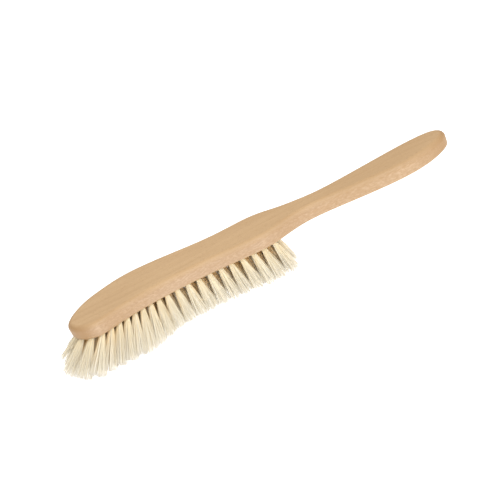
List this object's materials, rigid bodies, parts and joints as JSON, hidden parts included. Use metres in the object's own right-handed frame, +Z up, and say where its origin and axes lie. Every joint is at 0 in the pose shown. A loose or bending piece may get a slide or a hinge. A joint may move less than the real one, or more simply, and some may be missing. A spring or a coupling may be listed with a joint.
{
  "type": "clothes brush",
  "caption": "Long-handled clothes brush: one-piece curved beech board with cream bristle tufts that fan out round the toe.",
  "frame": {"origin": "under the middle of the brush's bounding box, level with the trimmed bristle ends it stands on", "axes": "+X from the fanned toe to the end of the handle, +Y across the board, +Z up from the bristle ends to the flat back of the board"},
  "size_m": [0.392, 0.0762, 0.0485],
  "materials": {
    "beech": "satin, thin clear varnish over fine straight grain",
    "bristle": "cream natural bristle, soft sheen",
    "anchor_wire": "drawn flat wire, dull"
  },
  "bodies": {
    "root": {"brush_body": "beech", "tuft_row_01": "bristle", "tuft_row_02": "bristle", "tuft_row_03": "bristle", "tuft_row_04": "bristle", "tuft_row_05": "bristle", "tuft_row_06": "bristle", "tuft_row_07": "bristle", "tuft_row_08": "bristle", "tuft_row_09": "bristle", "tuft_row_10": "bristle", "tuft_row_11": "bristle", "tuft_row_12": "bristle", "tuft_row_13": "bristle", "tuft_row_14": "bristle", "tuft_row_15": "bristle", "tuft_row_16": "bristle", "tuft_row_17": "bristle", "tuft_row_18": "bristle", "tuft_row_19": "bristle", "tuft_row_20": "bristle", "tuft_row_21": "bristle", "tuft_row_22": "bristle", "tuft_row_23": "bristle", "anchor_row_01": "anchor_wire", "anchor_row_02": "anchor_wire", "anchor_row_03": "anchor_wire", "anchor_row_04": "anchor_wire", "anchor_row_05": "anchor_wire", "anchor_row_06": "anchor_wire", "anchor_row_07": "anchor_wire", "anchor_row_08": "anchor_wire", "anchor_row_09": "anchor_wire", "anchor_row_10": "anchor_wire", "anchor_row_11": "anchor_wire", "anchor_row_12": "anchor_wire", "anchor_row_13": "anchor_wire", "anchor_row_14": "anchor_wire", "anchor_row_15": "anchor_wire", "anchor_row_16": "anchor_wire", "anchor_row_17": "anchor_wire", "anchor_row_18": "anchor_wire", "anchor_row_19": "anchor_wire", "anchor_row_20": "anchor_wire", "anchor_row_21": "anchor_wire", "anchor_row_22": "anchor_wire", "anchor_row_23": "anchor_wire"}
  },
  "joints": []
}
